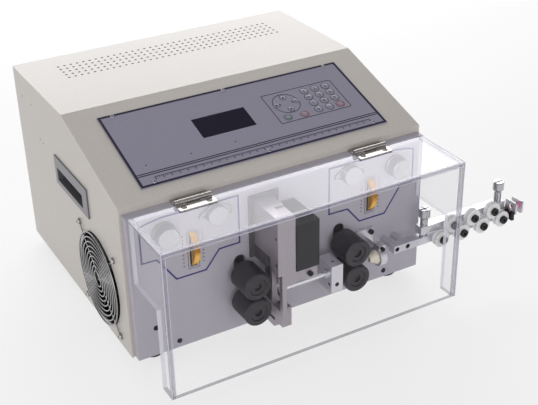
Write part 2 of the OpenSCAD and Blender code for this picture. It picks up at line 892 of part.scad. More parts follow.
// Sliding carriage of an upper roller with the rack that lifts it
module carriage(x) {
    low = upper_z - 12.5;
    top = wheel_z + 20;
    pitch = 2 * PI * pinion_r / pinion_teeth;
    m = 2 * pinion_r / pinion_teeth;
    color("Silver")
    difference() {
        union() {
            box([x - carriage_half, x + carriage_half], [-2, carriage_back], [low, upper_z + 13]);
            box([x - bar_half, x + bar_half], [bar_front, carriage_back], [low + 4, top]);
            for (k = [-4:3])
                slab_x([x - bar_half, x + bar_half],
                    [for (c = [[-0.28, 1], [-0.11, 0], [0.11, 0], [0.28, 1]])
                        [c[1] == 1 ? bar_front + 0.01 : pinion_r - 0.85 * m,
                         wheel_z + (k + 0.5 + c[0]) * pitch]]);
        }
        rod_y(feed_shaft_r + fit, x, [-5, plate_y], upper_z);
    }
}

module left_carriage() {
    carriage(left_feed_x);
}

module right_carriage() {
    carriage(right_feed_x);
}

// Brass thumbwheel on its shaft with the pinion at the inner end
module thumbwheel(side) {
    pinion_x = feed_x(side) + side * 5;
    shaft_x = [pinion_x - side * 3.5, side * (wheel_x + 17)];
    color("Goldenrod") {
        difference() {
            slab_x([side * wheel_x - wheel_w / 2, side * wheel_x + wheel_w / 2],
                [for (p = knurl_points(wheel_r, 72, 0.7)) [p[0], p[1] + wheel_z]]);
            rod_x(wheel_shaft_r + seat, [side * wheel_x - 9, side * wheel_x + 9], 0, wheel_z);
        }
        rod_x(wheel_shaft_r, [min(shaft_x), max(shaft_x)], 0, wheel_z);
        difference() {
            slab_x([pinion_x - 3.5, pinion_x + 3.5],
                [for (p = gear_points(pinion_teeth, pinion_r, 0)) [p[0], p[1] + wheel_z]]);
            rod_x(wheel_shaft_r + seat, [pinion_x - 5, pinion_x + 5], 0, wheel_z);
        }
    }
}

module left_thumbwheel() {
    thumbwheel(-1);
}

module right_thumbwheel() {
    thumbwheel(1);
}

// Turned pressure knob on the front panel
module pressure_knob(side) {
    knob_len = panel_y - run_gap - knob_front;
    color("Silver") {
        turned_front(side * knob_x, panel_y - run_gap, knob_z, [[0, 0], [knob_r, 0], [knob_r, 3],
            [knob_r - 1, 4], [knob_r - 1, knob_len - 1], [knob_r - 2, knob_len], [0, knob_len]]);
        rod_y(knob_shaft_r, side * knob_x, [panel_y - run_gap - 1, plate_back + 2], knob_z);
    }
}

module left_pressure_knob() {
    pressure_knob(-1);
}

module right_pressure_knob() {
    pressure_knob(1);
}

// Round caps with two-eared flanges over the pressure springs
module pressure_caps() {
    ear = 16.5;
    ear_r = 5;
    mid_r = 14.5;
    flange = 3;
    color("Silver")
    left_and_right() {
        translate([cap_x, panel_y, cap_z])
            rotate([90, 0, 0])
                linear_extrude(flange)
                    difference() {
                        union() {
                            circle(r = mid_r);
                            for (side = [-1, 1])
                                translate([side * ear, 0])
                                    circle(r = ear_r);
                            polygon(flange_corners(ear, ear_r, mid_r));
                        }
                        for (side = [-1, 1])
                            translate([side * ear, 0])
                                circle(r = 1.7);
                    }
        turned_front(cap_x, panel_y - flange + 0.5, cap_z,
            [[0, 0], [12.5, 0], [12.5, 5.5], [11.5, 6.5], [0, 6.5]]);
    }
}

// Corners where the straight edges of a two-eared flange meet its three rounds
function flange_corners(ear, ear_r, mid_r) =
    let (lean = acos((mid_r - ear_r) / ear), c = cos(lean), s = sin(lean))
    [[ear + ear_r * c, ear_r * s], [mid_r * c, mid_r * s], [-mid_r * c, mid_r * s],
     [-ear - ear_r * c, ear_r * s], [-ear - ear_r * c, -ear_r * s], [-mid_r * c, -mid_r * s],
     [mid_r * c, -mid_r * s], [ear + ear_r * c, -ear_r * s]];

// White nozzle that leads the wire into the right feed pair
module inlet_guide() {
    nozzle_x = right_feed_x + roller_r + 3;
    color("Ivory")
        turned_x(nozzle_x, wire_y, wire_z, [[3, 0], [4, 0], [9, 9], [9, 10], [7, 10], [7, 21], [3, 21]]);
}

// Split clamp that holds the nozzle on the panel
module inlet_clamp() {
    x0 = right_feed_x + roller_r + 13.5;
    x = [x0, x0 + 9];
    color("LightGray")
    difference() {
        union() {
            rod_x(12, x, wire_y, wire_z);
            box(x, [wire_y, panel_y], [wire_z - 8, wire_z + 8]);
            box([x0 - 6, x0 + 18], [panel_y - 4, panel_y], [wire_z - 12, wire_z + 20]);
            box(x, [wire_y - 6, wire_y + 6], [wire_z, wire_z + 17]);
        }
        rod_x(7 + seat, [x0 - 10, x0 + 20], wire_y, wire_z);
        box([x0 - 1, x0 + 10], [wire_y - 0.8, wire_y + 0.8], [wire_z, wire_z + 20]);
    }
}

// Fixed bar of the straightener on two round posts
module straightener_frame() {
    color("LightGray")
    difference() {
        union() {
            box([bar_x0 - 4.5, bar_x1], [bar_y0, bar_y1], [low_bar_z0, low_bar_z1]);
            for (x = post_x)
                rod_y(post_r, x, [bar_y1 - 1, panel_y], post_z);
        }
        for (x = post_x)
            rod_y(post_screw_r, x, [bar_y0 - 1, bar_y0 + 4], post_z);
        for (k = [0:3])
            rod_y(axle_r + seat, guide_x + k * guide_pitch, [bar_y0 - 1, bar_y0 + 7], low_axle_z);
        for (x = stem_x)
            rod_z(stem_r + fit, x, stem_y, [stem_end - 0.2, low_bar_z1 + 1]);
    }
}

// Shoulder screw that carries one straightener roller
module shoulder_screw(x, z) {
    difference() {
        union() {
            rod_y(axle_r, x, [guide_front - 1, bar_y0 + 6.5], z);
            rod_y(axle_r + 2.2, x, [guide_front - 3.4, guide_front - run_gap], z);
        }
        socket(x, guide_front - 3.4, z);
    }
}

// Six-sided recess of a socket screw, open to the front
module socket(x, y, z) {
    translate([x, y - 1, z])
        rotate([-90, 0, 0])
            cylinder(r = 2, h = 2.8, $fn = 6);
}

// Socket head screw seen from the front
module front_screw(x, y, z, r) {
    difference() {
        rod_y(r, x, [y - 3, y], z);
        socket(x, y - 3, z);
    }
}

// Screws of the fixed front parts, among them the lower roller axles
module socket_screws() {
    clamp_x = right_feed_x + roller_r + 13.5;
    sunk_y = bar_y0 + 0.4;
    color("Black") {
        for (k = [0:3])
            shoulder_screw(guide_x + k * guide_pitch, low_axle_z);
        for (x = post_x)
            difference() {
                rod_y(post_screw_r - seat, x, [sunk_y, bar_y0 + 4], post_z);
                socket(x, sunk_y, post_z);
            }
        front_screw(clamp_x + 14, panel_y - 4, wire_z + 15, 3.4);
        front_screw(clamp_x + 4.5, wire_y - 6, wire_z + 13, 2.6);
        front_screw(block_x0 + 20, -head_reach + 4, ledge_z + 6.5, 3.4);
    }
}

// White straightener roller with a V groove
module guide_roller(x, z) {
    wide = bar_y0 - guide_front - 2 * run_gap;
    color("White")
        turned_front(x, bar_y0 - run_gap, z, [[axle_r + fit, 0], [guide_roller_r - 0.8, 0],
            [guide_roller_r, 0.8], [guide_roller_r, 1.8], [guide_roller_r - 3, wide / 2],
            [guide_roller_r, wide - 1.8], [guide_roller_r, wide - 0.8], [guide_roller_r - 0.8, wide],
            [axle_r + fit, wide]]);
}

module lower_roller(k) {
    guide_roller(guide_x + (k - 1) * guide_pitch, low_axle_z);
}

module upper_roller(k) {
    guide_roller(guide_x + (k - 0.5) * guide_pitch, high_axle_z);
}

// Lifting bar of the straightener
module top_bar() {
    color("LightGray")
    difference() {
        box([top_bar_x0, bar_x1], [bar_y0, bar_y1], [high_bar_z0, high_bar_z1]);
        for (k = [0:2])
            rod_y(axle_r + seat, guide_x + (k + 0.5) * guide_pitch, [bar_y0 - 1, bar_y0 + 7], high_axle_z);
        for (x = stem_x)
            rod_z(stem_r + fit, x, stem_y, [high_bar_z0 - 1, high_bar_z1 + 1]);
    }
}

// Axles of the upper straightener rollers
module upper_axles() {
    color("Black")
    for (k = [0:2])
        shoulder_screw(guide_x + (k + 0.5) * guide_pitch, high_axle_z);
}

// Thumbscrew with a slotted round head, the head raised by a given amount
module thumbscrew(x, rise) {
    head_r = 7.2;
    neck = thumb_z + rise - stem_end;
    head_h = 13.7;
    head_top_z = stem_end + neck + head_h;
    color("Silver")
    difference() {
        translate([x, stem_y, stem_end])
            rotate_extrude()
                polygon([[0, 0], [stem_r, 0], [stem_r, neck], [head_r, neck + 3], [head_r, neck + head_h - 0.7],
                    [head_r - 0.7, neck + head_h], [0, neck + head_h]]);
        box([x - 10, x + 10], [stem_y - 1.2, stem_y + 1.2], [head_top_z - 2.5, head_top_z + 1]);
    }
}

module thumbscrew_left() {
    thumbscrew(stem_x[0], 0);
}

module thumbscrew_right() {
    thumbscrew(stem_x[1], 5);
}

// Block at the end of the straightener with two plates joined by a web
module eyelet_bracket() {
    front_x = guide_x + 3 * guide_pitch + guide_roller_r + 1;
    block_x = inner_plate_x + 1;
    block_z = [low_bar_z0, eye_z - eye_r];
    color("DimGray")
    difference() {
        union() {
            box([bar_x1, block_x], [bar_y0, bar_y1], block_z);
            box([front_x, block_x], [wire_y - 8, bar_y0 + 1], block_z);
            box([block_x, eyelet_x + 1], [wire_y + 4, wire_y + 9], [eye_z - 8.5, eye_z - 5]);
            rounded_plate([inner_plate_x, inner_plate_x + end_plate_t], 10, 8.5, 3);
            rounded_plate([eyelet_x, eyelet_x + end_plate_t], 10, 8.5, 3);
        }
        rod_x(eye_r + seat, [bar_x1 - 1, eyelet_end], wire_y, eye_z);
    }
}

// Plate across the eyelet axis with rounded corners
module rounded_plate(x, half_y, half_z, r) {
    translate([0, wire_y, eye_z]) {
        box(x, [-half_y + r, half_y - r], [-half_z, half_z]);
        box(x, [-half_y, half_y], [-half_z + r, half_z - r]);
        for (y = [-half_y + r, half_y - r])
            for (z = [-half_z + r, half_z - r])
                rod_x(r, x, y, z);
    }
}

// Ceramic eyelet in the outer plate
module wire_eyelet() {
    inside = 7;
    body = inside + end_plate_t;
    len = inside + eyelet_end - eyelet_x;
    color("Pink")
        turned_x(eyelet_x - inside, wire_y, eye_z, [[3, 1], [4, 0], [eye_r - 0.5, 0], [eye_r, 0.5],
            [eye_r, body], [7, body], [7, body + 1.2], [5.5, len], [4, len], [3, len - 1]]);
}

// Clear cover: top, front and two notched sides
module cover() {
    inner_top = panel_top - cover_t;
    inner_front = -cover_reach + cover_t;
    strip_back = -cover_reach + cover_strip;
    color("LightCyan", 0.4) {
        box([-cover_half, cover_half], [-cover_reach, cover_back], [inner_top, panel_top]);
        box([-cover_half, cover_half], [-cover_reach, inner_front], [cover_bottom, inner_top]);
        left_and_right()
            slab_x([cover_half - cover_t, cover_half], [[cover_back, inner_top], [cover_back, notch_h],
                [strip_back, notch_h], [strip_back, cover_bottom], [inner_front, cover_bottom],
                [inner_front, inner_top]]);
    }
}

// One hinge leaf: a flat plate with knuckles, side 1 to the rear and side -1 to the front
module hinge_leaf(side, knuckles, bore) {
    leaf_start = knuckle_r + run_gap + 0.2;
    difference() {
        union() {
            translate([0, hinge_y, panel_top])
                box([-hinge_len / 2, hinge_len / 2],
                    [side < 0 ? -moving_leaf_w : leaf_start, side < 0 ? -leaf_start : leaf_w],
                    [0, leaf_t]);
            for (x = knuckles) {
                rod_x(knuckle_r, x, hinge_y, hinge_z);
                translate([0, hinge_y, panel_top])
                    box(x, [side < 0 ? -leaf_start - 0.1 : hinge_lap, side < 0 ? -hinge_lap : leaf_start + 0.1],
                        [0, leaf_t]);
            }
        }
        if (bore > 0)
            for (x = knuckles)
                rod_x(bore, [x[0] - 1, x[1] + 1], hinge_y, hinge_z);
    }
}

module hinge_moving_leaves() {
    third = hinge_len / 6;
    color("Silver")
    left_and_right()
        translate([hinge_x, 0, 0])
            hinge_leaf(-1, [[-third, third]], pin_r + fit);
}

module hinge_fixed_leaves() {
    third = hinge_len / 6 + run_gap;
    half = hinge_len / 2;
    color("Silver")
    left_and_right()
        translate([hinge_x, 0, 0]) {
            hinge_leaf(1, [[-half, -third], [third, half]], 0);
            rod_x(pin_r, [-half, half], hinge_y, hinge_z);
        }
}

placed() casing();
placed() base_pan();
placed() rear_panel();
placed() front_panel();
placed() bearing_plate();
placed() feet();
placed() carry_handles();
placed() fan_guard();
placed() fan_frame();
placed() fan_rotor();
placed() control_panel();
placed() lcd_module();
placed() main_board();
placed() power_supply();
placed() power_inlet();
placed() power_switch();
placed() stepper_motors();
placed() cutter_belt();
placed() cutter_rotor();
placed() lead_screw();
placed() head_bracket();
placed() head_frame();
placed() head_cover();
placed() upper_blade_holder();
placed() upper_blade();
placed() lower_blade_holder();
placed() lower_blade();
placed() guide_block();
placed() guide_tube();
placed() left_lower_roller();
placed() right_lower_roller();
placed() left_upper_roller();
placed() right_upper_roller();
placed() left_carriage();
placed() right_carriage();
placed() left_thumbwheel();
placed() right_thumbwheel();
placed() left_pressure_knob();
placed() right_pressure_knob();
placed() pressure_caps();
placed() inlet_guide();
placed() inlet_clamp();
placed() straightener_frame();
placed() socket_screws();
placed() lower_roller(1);  // lower_roller_1
placed() lower_roller(2);  // lower_roller_2
placed() lower_roller(3);  // lower_roller_3
placed() lower_roller(4);  // lower_roller_4
placed() top_bar();
placed() upper_axles();
placed() upper_roller(1);  // upper_roller_1
placed() upper_roller(2);  // upper_roller_2
placed() upper_roller(3);  // upper_roller_3
placed() thumbscrew_left();
placed() thumbscrew_right();
placed() eyelet_bracket();
placed() wire_eyelet();
placed() cover();
placed() hinge_moving_leaves();
placed() hinge_fixed_leaves();
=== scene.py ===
"""Looks of the wire cutting and stripping machine: materials, print, small screws, light and camera."""
import math

import bpy
from mathutils import Matrix, Vector


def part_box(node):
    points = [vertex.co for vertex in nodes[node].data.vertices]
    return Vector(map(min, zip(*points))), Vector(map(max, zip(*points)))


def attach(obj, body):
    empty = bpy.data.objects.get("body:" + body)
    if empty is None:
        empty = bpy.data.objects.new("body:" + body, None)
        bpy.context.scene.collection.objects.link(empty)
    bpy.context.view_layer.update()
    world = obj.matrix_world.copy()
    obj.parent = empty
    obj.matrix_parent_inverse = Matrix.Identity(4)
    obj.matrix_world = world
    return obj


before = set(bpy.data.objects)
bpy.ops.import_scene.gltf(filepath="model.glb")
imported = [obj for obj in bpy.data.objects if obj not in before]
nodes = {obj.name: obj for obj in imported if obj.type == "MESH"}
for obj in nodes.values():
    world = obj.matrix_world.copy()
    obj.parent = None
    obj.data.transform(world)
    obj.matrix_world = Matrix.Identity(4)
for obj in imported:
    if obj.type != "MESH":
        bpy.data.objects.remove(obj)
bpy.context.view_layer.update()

MM = 0.001
ROOT = "machine"

# Main sizes of the machine in millimetres, with the origin at the casing's front lip
CASING_W, CASING_D, CASING_H = 400.0, 340.0, 248.0
LIP_H, SLOPE_D = 199.0, 160.0
PANEL_REACH = 12.6
SLOPE = math.atan2(CASING_H - LIP_H, SLOPE_D)
casing_low, casing_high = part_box("casing")
SHIFT = Vector(((casing_low.x + casing_high.x) / 2, casing_low.y, casing_low.z)) / MM


def basis(origin, u, v, w):
    """Matrix from millimetres on a face, along it, up it and out of it, to the row frame."""
    place = Vector(origin) + SHIFT
    columns = (Vector(u), Vector(v), Vector(w), place)
    return Matrix([[column[row] * MM for column in columns] for row in range(3)] + [[0, 0, 0, 1]])


WORLD = basis((0, 0, 0), (1, 0, 0), (0, 1, 0), (0, 0, 1))
ON_SLOPE = basis((0, 0, LIP_H), (1, 0, 0), (0, math.cos(SLOPE), math.sin(SLOPE)),
                 (0, -math.sin(SLOPE), math.cos(SLOPE)))
ON_PANEL = basis((0, -PANEL_REACH, 0), (1, 0, 0), (0, 0, 1), (0, -1, 0))
ON_TOP = basis((0, 0, CASING_H), (1, 0, 0), (0, 1, 0), (0, 0, 1))
ON_LEFT = basis((-CASING_W / 2, 0, 0), (0, -1, 0), (0, 0, 1), (-1, 0, 0))
ON_RIGHT = basis((CASING_W / 2, 0, 0), (0, 1, 0), (0, 0, 1), (1, 0, 0))
ON_REAR = basis((0, CASING_D, 0), (-1, 0, 0), (0, 0, 1), (0, 1, 0))


# Materials

def material(name, colour, rough, metal=0.0, **more):
    """One shader; more gives other sockets by name, with _ for each space."""
    made = bpy.data.materials.new(name)
    made.use_nodes = True
    shader = made.node_tree.nodes["Principled BSDF"]
    shader.inputs["Base Color"].default_value = (*colour, 1.0)
    shader.inputs["Roughness"].default_value = rough
    shader.inputs["Metallic"].default_value = metal
    for key, value in more.items():
        shader.inputs[key.replace("_", " ")].default_value = value
    return made


BUMP_HEIGHT = 0.2 * MM


def grain(made, size, depth=0.0, stretch=(1.0, 1.0, 1.0), mottle=0.05):
    """Adds fine noise to the colour and the surface, stretched along an axis for brushed metal."""
    tree = made.node_tree
    shader = tree.nodes["Principled BSDF"]
    place = tree.nodes.new("ShaderNodeTexCoord")
    spread = tree.nodes.new("ShaderNodeMapping")
    noise = tree.nodes.new("ShaderNodeTexNoise")
    spread.inputs["Scale"].default_value = stretch
    noise.inputs["Scale"].default_value = 1.0 / size
    noise.inputs["Detail"].default_value = 3.0
    tree.links.new(place.outputs["Object"], spread.inputs["Vector"])
    tree.links.new(spread.outputs["Vector"], noise.inputs["Vector"])
    shades = tree.nodes.new("ShaderNodeValToRGB")
    colour = Vector(shader.inputs["Base Color"].default_value[:3])
    for stop, where, tone in zip(shades.color_ramp.elements, (0.3, 0.7), (1 - mottle, 1 + mottle)):
        stop.position = where
        stop.color = (*(colour * tone), 1.0)
    tree.links.new(noise.outputs["Fac"], shades.inputs["Fac"])
    tree.links.new(shades.outputs["Color"], shader.inputs["Base Color"])
    if depth:
        bump = tree.nodes.new("ShaderNodeBump")
        bump.inputs["Strength"].default_value = depth
        bump.inputs["Distance"].default_value = BUMP_HEIGHT
        tree.links.new(noise.outputs["Fac"], bump.inputs["Height"])
        tree.links.new(bump.outputs["Normal"], shader.inputs["Normal"])
    return made


# Fine lines along X or Z on brushed metal
BRUSHED_X, BRUSHED_Z = (1, 10, 10), (10, 10, 1)

cream = grain(material("cream_paint", (0.56, 0.525, 0.48), 0.4, Coat_Weight=0.12), 0.004, 0.03, mottle=0.02)
panel_grey = grain(material("panel_grey", (0.42, 0.40, 0.45), 0.36), 0.003, 0.03, mottle=0.02)
plain_steel = grain(material("plain_steel", (0.55, 0.55, 0.56), 0.35, 1.0), 0.004, 0.1, BRUSHED_X)
rubber = grain(material("black_rubber", (0.012, 0.012, 0.013), 0.6), 0.002, 0.1)
handle_grey = grain(material("handle_grey", (0.19, 0.185, 0.2), 0.32, 0.4), 0.002, 0.05)
guard_chrome = grain(material("guard_chrome", (0.36, 0.355, 0.36), 0.2, 1.0), 0.006)
black_plastic = grain(material("black_plastic", (0.010, 0.009, 0.013), 0.5, Specular_IOR_Level=0.4),
                      0.001, 0.2)
overlay = grain(material("overlay_film", (0.285, 0.27, 0.345), 0.6, Specular_IOR_Level=0.25), 0.002, 0.02,
                mottle=0.03)
overlay_raised = grain(material("overlay_key", (0.25, 0.25, 0.315), 0.38), 0.002, 0.02, mottle=0.03)
navy = grain(material("print_navy", (0.010, 0.006, 0.15), 0.45), 0.002)
border_ink = grain(material("print_dark_blue", (0.004, 0.003, 0.026), 0.5, Specular_IOR_Level=0.25), 0.002)
black_print = grain(material("print_black", (0.006, 0.006, 0.014), 0.5, Specular_IOR_Level=0.25), 0.002)
red_print = grain(material("print_red", (0.42, 0.035, 0.05), 0.45), 0.002)
green_print = grain(material("print_green", (0.02, 0.12, 0.05), 0.45), 0.002)
lcd = grain(material("lcd_glass", (0.004, 0.003, 0.018), 0.12, Specular_IOR_Level=0.35), 0.01)
board_green = grain(material("board_green", (0.02, 0.12, 0.05), 0.5), 0.003, 0.1, mottle=0.15)
red_plastic = grain(material("red_plastic", (0.5, 0.02, 0.02), 0.25), 0.003)
motor_black = grain(material("motor_black", (0.03, 0.03, 0.03), 0.4), 0.001, 0.2)
head_steel = grain(material("head_steel", (0.37, 0.335, 0.37), 0.36, 0.6), 0.006, 0.12, BRUSHED_X)
bracket_dark = grain(material("bracket_dark", (0.075, 0.07, 0.08), 0.42), 0.002, 0.08)
blade_steel = grain(material("blade_steel", (0.75, 0.75, 0.76), 0.22, 1.0), 0.004, 0.08, BRUSHED_Z)
aluminium = grain(material("satin_aluminium", (0.64, 0.63, 0.67), 0.34, 0.8), 0.006, 0.08, BRUSHED_X, 0.04)
polished = grain(material("polished_steel", (0.46, 0.47, 0.49), 0.16, 1.0), 0.006, mottle=0.03)
tube_steel = grain(material("tube_steel", (0.80, 0.80, 0.82), 0.24, 0.7), 0.006, 0.05, BRUSHED_X, 0.03)
cap_steel = grain(material("cap_steel", (0.40, 0.40, 0.43), 0.3, 0.8), 0.003, 0.05)
roller_dark = grain(material("roller_dark", (0.015, 0.0115, 0.017), 0.46), 0.0007, 0.25)
brass = grain(material("brass", (0.75, 0.43, 0.10), 0.24, 1.0), 0.003)
nylon_cream = grain(material("nylon_cream", (0.72, 0.67, 0.56), 0.4), 0.003)
nylon_white = grain(material("nylon_white", (0.78, 0.78, 0.78), 0.35), 0.003, mottle=0.03)
black_steel = grain(material("black_steel", (0.016, 0.016, 0.018), 0.32, 0.6), 0.002)
pink = grain(material("ceramic_pink", (0.74, 0.26, 0.42), 0.18), 0.003, mottle=0.06)
nickel = grain(material("hinge_nickel", (0.46, 0.44, 0.42), 0.24, 1.0), 0.004, 0.05, BRUSHED_X)
zinc = grain(material("screw_zinc", (0.55, 0.54, 0.5), 0.28, 1.0), 0.002)
# Near black standing for shade: the screw cross recesses, the vent holes and the rings round the hinge screws
# are painted shade in it
painted_hole_shade = material("painted_hole_shade", (0.008, 0.008, 0.009), 0.8)

# Turned knobs: the front faces have their grain in rings
knob_side = grain(material("knob_side", (0.34, 0.335, 0.355), 0.3, 0.9), 0.003, 0.1)
spun = grain(material("spun_aluminium", (0.38, 0.38, 0.40), 0.26, 1.0, Anisotropic=0.85), 0.006, mottle=0.03)
ring_grain = spun.node_tree.nodes.new("ShaderNodeTangent")
ring_grain.direction_type = "RADIAL"
ring_grain.axis = "Z"
spun_shader = spun.node_tree.nodes["Principled BSDF"]
spun.node_tree.links.new(ring_grain.outputs["Tangent"], spun_shader.inputs["Tangent"])

# Clear sheets: almost unseen in front, milky on the sides by painted reflection, and a weak mirror on top
# that is stronger towards the right end, the rise being painted reflection
clear = material("clear_acrylic", (0.94, 0.94, 0.97), 0.03, Alpha=0.008)
# The side sheets are milky: painted reflection
clear_side_sheen = material("clear_side_sheen", (0.72, 0.705, 0.77), 0.05, Alpha=0.13)
clear_edge = material("clear_edge", (0.84, 0.83, 0.90), 0.15, Alpha=0.7)
# Dark grey on the lower edge faces of the sheets: painted shade along their foot
clear_foot_shade = material("clear_foot_shade", (0.16, 0.15, 0.20), 0.2, Alpha=0.55)
# Lilac grey in the glued corners of the cover: painted shade
clear_corner_shade = material("clear_corner_shade", (0.33, 0.315, 0.40), 0.2, Alpha=0.38)
# Pale lines along the cover's outer edges: painted highlights
painted_edge_highlight = material("painted_edge_highlight", (0.72, 0.705, 0.79), 0.2, Alpha=0.75)
clear_top = material("clear_top", (0.95, 0.94, 0.98), 0.1, 1.0)
tree = clear_top.node_tree
place = tree.nodes.new("ShaderNodeTexCoord")
split = tree.nodes.new("ShaderNodeSeparateXYZ")
shine = tree.nodes.new("ShaderNodeMapRange")
# The mirror share rises from the left end to the right end: painted reflection
SHINE_LEFT, SHINE_RIGHT = 0.10, 0.14
shine.inputs["To Min"].default_value = SHINE_LEFT
shine.inputs["To Max"].default_value = SHINE_RIGHT
tree.links.new(place.outputs["Generated"], split.inputs["Vector"])
tree.links.new(split.outputs["X"], shine.inputs["Value"])
tree.links.new(shine.outputs["Result"], tree.nodes["Principled BSDF"].inputs["Alpha"])

LOOKS = {
    cream: "casing rear_panel",
    panel_grey: "front_panel",
    plain_steel: "base_pan bearing_plate power_supply cutter_rotor lead_screw left_carriage right_carriage",
    rubber: "feet cutter_belt",
    handle_grey: "carry_handles",
    guard_chrome: "fan_guard",
    black_plastic: "fan_frame fan_rotor power_inlet head_cover",
    overlay: "control_panel",
    lcd: "lcd_module",
    board_green: "main_board",
    red_plastic: "power_switch",
    motor_black: "stepper_motors",
    head_steel: "head_frame upper_blade_holder lower_blade_holder",
    blade_steel: "upper_blade lower_blade",
    bracket_dark: "head_bracket",
    aluminium: "guide_block inlet_clamp straightener_frame top_bar",
    polished: "thumbscrew_left thumbscrew_right",
    tube_steel: "guide_tube",
    cap_steel: "pressure_caps",
    roller_dark: "left_lower_roller right_lower_roller left_upper_roller right_upper_roller",
    brass: "left_thumbwheel right_thumbwheel",
    knob_side: "left_pressure_knob right_pressure_knob",
    nylon_cream: "inlet_guide",
    nylon_white: "lower_roller_1 lower_roller_2 lower_roller_3 lower_roller_4"
                 " upper_roller_1 upper_roller_2 upper_roller_3",
    black_steel: "socket_screws upper_axles",
    pink: "wire_eyelet",
    nickel: "hinge_moving_leaves hinge_fixed_leaves",
}
for look, names in LOOKS.items():
    for name in names.split():
        nodes[name].data.materials.clear()
        nodes[name].data.materials.append(look)


# Pieces with more than one look, picked by the place of each face

def paint(name, looks, pick):
    """Gives each face of a node the look that pick chooses from its middle and its direction."""
    mesh = nodes[name].data
    mesh.materials.clear()
    for look in looks:
        mesh.materials.append(look)
    for face in mesh.polygons:
        spot = nodes[name].matrix_world @ face.center / MM - SHIFT
        face.material_index = pick(spot, face.normal)


# Clear cover: half width, sheet thickness, front, rear, top and lower edge, and its side notch
COVER_HALF, COVER_T = 194.5, 5.0
COVER_FRONT, COVER_BACK = -97.0, -14.0
COVER_TOP, COVER_LOW = 191.0, 4.0
NOTCH_H, STRIP_BACK = 109.0, -73.0
INNER_PLATE_X = 317.9
FACING = 0.9
FRONT_LOOK, TOP_LOOK, SIDE_LOOK, EDGE_LOOK, FOOT_SHADE_LOOK = range(5)


def sheet_look(spot, normal):
    """Which look a face of the clear cover has."""
    if normal.z > FACING and spot.z > COVER_TOP - 1:
        return TOP_LOOK
    if abs(normal.x) > FACING:
        return SIDE_LOOK
    if normal.z < -FACING and spot.z < COVER_LOW + 1:
        return FOOT_SHADE_LOOK
    if abs(normal.z) > FACING and spot.z < NOTCH_H + 1:
        return EDGE_LOOK
    if abs(normal.y) > FACING and spot.y > STRIP_BACK - 1:
        return EDGE_LOOK
    return FRONT_LOOK


paint("cover", (clear, clear_top, clear_side_sheen, clear_edge, clear_foot_shade), sheet_look)
paint("eyelet_bracket", (black_steel, aluminium), lambda spot, normal: int(spot.x > INNER_PLATE_X))

# Sheet and machined edges catch the light on a small bevel
BEVELS = {
    1.2: "casing",
    0.8: "front_panel carry_handles head_cover",
    0.6: "left_upper_roller right_upper_roller left_lower_roller right_lower_roller",
    0.5: "head_frame guide_block head_bracket top_bar straightener_frame upper_blade_holder",
    0.3: "control_panel hinge_moving_leaves hinge_fixed_leaves",
}
SHARP = math.radians(40)
for width, names in BEVELS.items():
    for name in names.split():
        bevel = nodes[name].modifiers.new("edge", "BEVEL")
        bevel.width = width * MM
        bevel.segments = 2
        bevel.limit_method = "ANGLE"
        bevel.angle_limit = SHARP


# Shapes drawn on a face

class Shape:
    """Faces gathered in millimetres on one face of the machine."""

    def __init__(self, place):
        self.place = place
        self.verts = []
        self.faces = []

    def prism(self, outline, low, high):
        """A closed outline, counter-clockwise, between two heights."""
        start, count = len(self.verts), len(outline)
        self.verts += [(u, v, low) for u, v in outline] + [(u, v, high) for u, v in outline]
        self.faces.append([start + count + i for i in range(count)])
        self.faces.append([start + i for i in reversed(range(count))])
        for i in range(count):
            j = (i + 1) % count
            self.faces.append([start + i, start + j, start + count + j, start + count + i])

    def band(self, outer, inner, low, high):
        """A ring between two outlines with the same number of points."""
        start, count = len(self.verts), len(outer)
        for loop, height in ((outer, low), (outer, high), (inner, high), (inner, low)):
            self.verts += [(u, v, height) for u, v in loop]
        for ring in range(4):
            after = (ring + 1) % 4
            for i in range(count):
                j = (i + 1) % count
                self.faces.append([start + ring * count + i, start + ring * count + j,
                                   start + after * count + j, start + after * count + i])

    def line(self, points, width, low, high):
        """A thin mitred line through the points."""
        left, right = [], []
        for i, point in enumerate(points):
            here = Vector(point)
            before = (here - Vector(points[i - 1])).normalized() if i else None
            after = (Vector(points[i + 1]) - here).normalized() if i + 1 < len(points) else None
            before, after = before or after, after or before
            mitre = Vector((-before.y - after.y, before.x + after.x)).normalized()
            reach = width / 2 / max(0.3, mitre.dot(Vector((-before.y, before.x))))
            left.append(tuple(here + mitre * reach))
            right.append(tuple(here - mitre * reach))
        for i in range(len(points) - 1):
            self.prism([right[i], right[i + 1], left[i + 1], left[i]], low, high)

    def lathe(self, u, v, profile, steps=24):
        """A turned shape about the line out of the face; profile is radius and height, from the axis out."""
        start, count = len(self.verts), len(profile)
        for step in range(steps):
            angle = 2 * math.pi * step / steps
            self.verts += [(u + r * math.cos(angle), v + r * math.sin(angle), h) for r, h in profile]
        for step in range(steps):
            here, there = start + step * count, start + (step + 1) % steps * count
            for k in range(count - 1):
                self.faces.append([here + k, here + k + 1, there + k + 1, there + k])

    def piece(self, name, look, body=ROOT, slot=None, smooth=False):
        """Makes the gathered faces one piece that rides on a body."""
        mesh = bpy.data.meshes.new(name)
        mesh.from_pydata([self.place @ Vector(p) for p in self.verts], [], self.faces)
        mesh.validate()
        mesh.materials.append(look)
        made = bpy.data.objects.new(name, mesh)
        bpy.context.scene.collection.objects.link(made)
        if smooth:
            mesh.shade_smooth()
        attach(made, body)


def circle(u, v, r, steps=24):
    """Points on a circle, counter-clockwise."""
    turn = [2 * math.pi * i / steps for i in range(steps)]
    return [(u + r * math.cos(a), v + r * math.sin(a)) for a in turn]


CORNER_STEPS = 5


